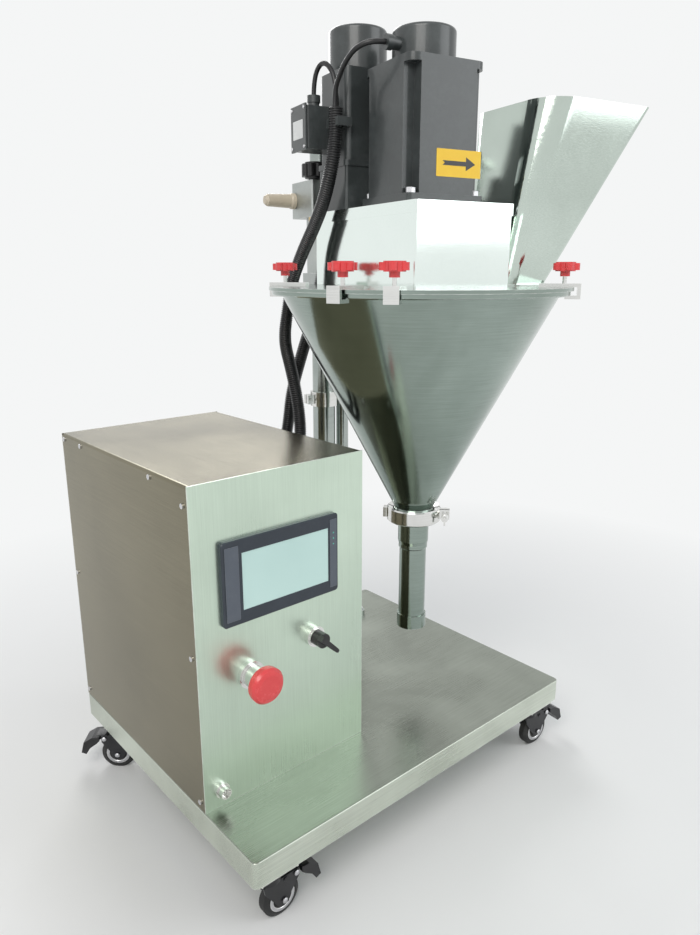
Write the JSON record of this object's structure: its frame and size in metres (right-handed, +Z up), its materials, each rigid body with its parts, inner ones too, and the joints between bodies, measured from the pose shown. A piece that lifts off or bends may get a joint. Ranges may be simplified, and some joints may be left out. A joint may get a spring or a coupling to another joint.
{
  "type": "auger powder filler",
  "caption": "Benchtop auger powder filler on a wheeled tray: control cabinet, height-adjustable column, conical hopper, feed chute and dosing tube.",
  "frame": {"origin": "centre of the bounding box's footprint, on the floor under the caster wheels", "axes": "+Z up; -Y towards the operator's side with the control panel; +X along the tray from the cabinet to the filling head"},
  "size_m": [0.8362, 0.5687, 1.165],
  "materials": {
    "steel": "brushed",
    "polished_steel": "mirror polished",
    "black_steel": "satin",
    "zinc": "satin",
    "dark_motor": "satin",
    "black_plastic": "satin",
    "slate_plastic": "satin",
    "screen": "matte",
    "red_plastic": "gloss",
    "black_rubber": "matte",
    "tan_plastic": "satin",
    "aluminium": "satin",
    "electrics": "satin"
  },
  "bodies": {
    "base": {"base_tray": "steel", "base_rails": "steel", "caster_plates": "zinc", "cabinet_cover": "steel", "cabinet_front_panel": "steel", "cabinet_back_panel": "steel", "base_fasteners": "zinc", "cabinet_electrics": "electrics", "conduit_glands": "black_plastic", "hmi_housing": "slate_plastic", "hmi_screen": "screen", "panel_fittings": "zinc", "column_foot": "steel", "main_post": "polished_steel", "guide_rod": "polished_steel", "lift_rack": "polished_steel", "stop_collar": "steel", "column_cap": "steel", "auger_hose": "black_rubber", "stirrer_hose": "black_rubber"},
    "head": {"lift_carriage": "aluminium", "hopper_cone": "polished_steel", "dosing_tube": "polished_steel", "tri_clamp": "polished_steel", "lid_plate": "steel", "lid_clamps": "polished_steel", "drive_box": "polished_steel", "drive_box_cover": "polished_steel", "auger_motor": "dark_motor", "stirrer_motor": "dark_motor", "terminal_box": "dark_motor", "feed_chute": "polished_steel", "bearing_housing": "aluminium", "drive_belt": "black_rubber", "motor_leads": "black_rubber"},
    "estop_button": {"estop_button": "red_plastic"},
    "selector_knob": {"selector_knob": "black_plastic"},
    "lift_handle": {"lift_handle": "tan_plastic"},
    "lock_knob": {"lock_knob": "black_plastic"},
    "clamp_wing_nut": {"clamp_wing_nut": "polished_steel"},
    "auger_screw": {"auger_screw": "polished_steel"},
    "agitator": {"agitator": "polished_steel"},
    "stirrer_pulley": {"stirrer_pulley": "aluminium"},
    "lid_knob_1": {"lid_knob_1": "red_plastic"},
    "lid_knob_2": {"lid_knob_2": "red_plastic"},
    "lid_knob_3": {"lid_knob_3": "red_plastic"},
    "lid_knob_4": {"lid_knob_4": "red_plastic"},
    "lid_knob_5": {"lid_knob_5": "red_plastic"},
    "front_left_fork": {"front_left_fork": "black_steel"},
    "front_left_wheel": {"front_left_wheel": "black_rubber"},
    "front_left_brake": {"front_left_brake": "black_steel"},
    "front_right_fork": {"front_right_fork": "black_steel"},
    "front_right_wheel": {"front_right_wheel": "black_rubber"},
    "front_right_brake": {"front_right_brake": "black_steel"},
    "back_left_fork": {"back_left_fork": "black_steel"},
    "back_left_wheel": {"back_left_wheel": "black_rubber"},
    "back_left_brake": {"back_left_brake": "black_steel"},
    "back_right_fork": {"back_right_fork": "black_steel"},
    "back_right_wheel": {"back_right_wheel": "black_rubber"},
    "back_right_brake": {"back_right_brake": "black_steel"}
  },
  "joints": [
    {"name": "estop_press", "type": "slide", "parent": "base", "child": "estop_button", "axis": [0, 1, 0], "range_m": [0, 0.005], "stiffness_N_per_m": 2500},
    {"name": "selector_turn", "type": "hinge", "parent": "base", "child": "selector_knob", "pos_m": [-0.20862, -0.11688, 0.327], "axis": [0, 1, 0], "range_deg": [0, 90]},
    {"name": "front_left_swivel", "type": "hinge", "parent": "base", "child": "front_left_fork", "pos_m": [-0.35062, -0.19887, 0.06], "axis": [0, 0, 1], "continuous": true},
    {"name": "front_left_roll", "type": "hinge", "parent": "front_left_fork", "child": "front_left_wheel", "pos_m": [-0.33462, -0.19887, 0.028], "axis": [0, 1, 0], "continuous": true},
    {"name": "front_left_brake_press", "type": "hinge", "parent": "front_left_fork", "child": "front_left_brake", "pos_m": [-0.31462, -0.19887, 0.0588], "axis": [0, 1, 0], "range_deg": [0, 12]},
    {"name": "front_right_swivel", "type": "hinge", "parent": "base", "child": "front_right_fork", "pos_m": [0.20438, -0.19887, 0.06], "axis": [0, 0, 1], "continuous": true},
    {"name": "front_right_roll", "type": "hinge", "parent": "front_right_fork", "child": "front_right_wheel", "pos_m": [0.22029, -0.20055, 0.028], "axis": [0.1045, 0.9945, 0], "continuous": true},
    {"name": "front_right_brake_press", "type": "hinge", "parent": "front_right_fork", "child": "front_right_brake", "pos_m": [0.24018, -0.20264, 0.0588], "axis": [0.1045, 0.9945, 0], "range_deg": [0, 12]},
    {"name": "back_left_swivel", "type": "hinge", "parent": "base", "child": "back_left_fork", "pos_m": [-0.35062, 0.21313, 0.06], "axis": [0, 0, 1], "continuous": true},
    {"name": "back_left_roll", "type": "hinge", "parent": "back_left_fork", "child": "back_left_wheel", "pos_m": [-0.36288, 0.22341, 0.028], "axis": [-0.6428, -0.766, 0], "continuous": true},
    {"name": "back_left_brake_press", "type": "hinge", "parent": "back_left_fork", "child": "back_left_brake", "pos_m": [-0.3782, 0.23627, 0.0588], "axis": [-0.6428, -0.766, 0], "range_deg": [0, 12]},
    {"name": "back_right_swivel", "type": "hinge", "parent": "base", "child": "back_right_fork", "pos_m": [0.20438, 0.21313, 0.06], "axis": [0, 0, 1], "continuous": true},
    {"name": "back_right_roll", "type": "hinge", "parent": "back_right_fork", "child": "back_right_wheel", "pos_m": [0.21942, 0.2186, 0.028], "axis": [-0.342, 0.9397, 0], "continuous": true},
    {"name": "back_right_brake_press", "type": "hinge", "parent": "back_right_fork", "child": "back_right_brake", "pos_m": [0.23821, 0.22544, 0.0588], "axis": [-0.342, 0.9397, 0], "range_deg": [0, 12]},
    {"name": "head_lift", "type": "slide", "parent": "base", "child": "head", "axis": [0, 0, 1], "range_m": [-0.09, 0.045], "deforming": ["auger_hose", "stirrer_hose"]},
    {"name": "handle_turn", "type": "hinge", "parent": "head", "child": "lift_handle", "pos_m": [0.1378, 0.2459, 0.937], "axis": [0.9763, -0.2164, 0], "range_deg": [-345, 173]},
    {"name": "lock_turn", "type": "hinge", "parent": "head", "child": "lock_knob", "pos_m": [0.05661, 0.19847, 0.967], "axis": [0, 0, 1], "continuous": true},
    {"name": "lid_knob_1_turn", "type": "hinge", "parent": "head", "child": "lid_knob_1", "pos_m": [-0.12171, -0.18148, 0.817], "axis": [0, 0, 1], "continuous": true},
    {"name": "lid_knob_2_turn", "type": "hinge", "parent": "head", "child": "lid_knob_2", "pos_m": [0.17399, -0.23097, 0.817], "axis": [0, 0, 1], "continuous": true},
    {"name": "lid_knob_3_turn", "type": "hinge", "parent": "head", "child": "lid_knob_3", "pos_m": [0.22347, 0.06473, 0.817], "axis": [0, 0, 1], "continuous": true},
    {"name": "lid_knob_4_turn", "type": "hinge", "parent": "head", "child": "lid_knob_4", "pos_m": [-0.07223, 0.11422, 0.817], "axis": [0, 0, 1], "continuous": true},
    {"name": "lid_knob_5_turn", "type": "hinge", "parent": "head", "child": "lid_knob_5", "pos_m": [-0.15239, -0.11859, 0.817], "axis": [0, 0, 1], "continuous": true},
    {"name": "wing_nut_turn", "type": "hinge", "parent": "head", "child": "clamp_wing_nut", "pos_m": [0.07361, -0.10638, 0.435], "axis": [0.7716, 0.6361, 0], "continuous": true},
    {"name": "auger_turn", "type": "hinge", "parent": "head", "child": "auger_screw", "pos_m": [0.05088, -0.05838, 0.529], "axis": [0, 0, 1], "continuous": true},
    {"name": "stirrer_pulley_turn", "type": "hinge", "parent": "head", "child": "stirrer_pulley", "pos_m": [0.04181, 0.07167, 0.841], "axis": [0, 0, 1], "continuous": true},
    {"name": "agitator_turn", "type": "hinge", "parent": "head", "child": "agitator", "pos_m": [0.05088, -0.05838, 0.629], "axis": [0, 0, 1], "continuous": true}
  ],
  "couplings": [
    {"joint": "handle_turn", "follows": "head_lift", "rad_per_m": 66.667},
    {"joint": "agitator_turn", "follows": "stirrer_pulley_turn", "ratio": 0.5}
  ]
}
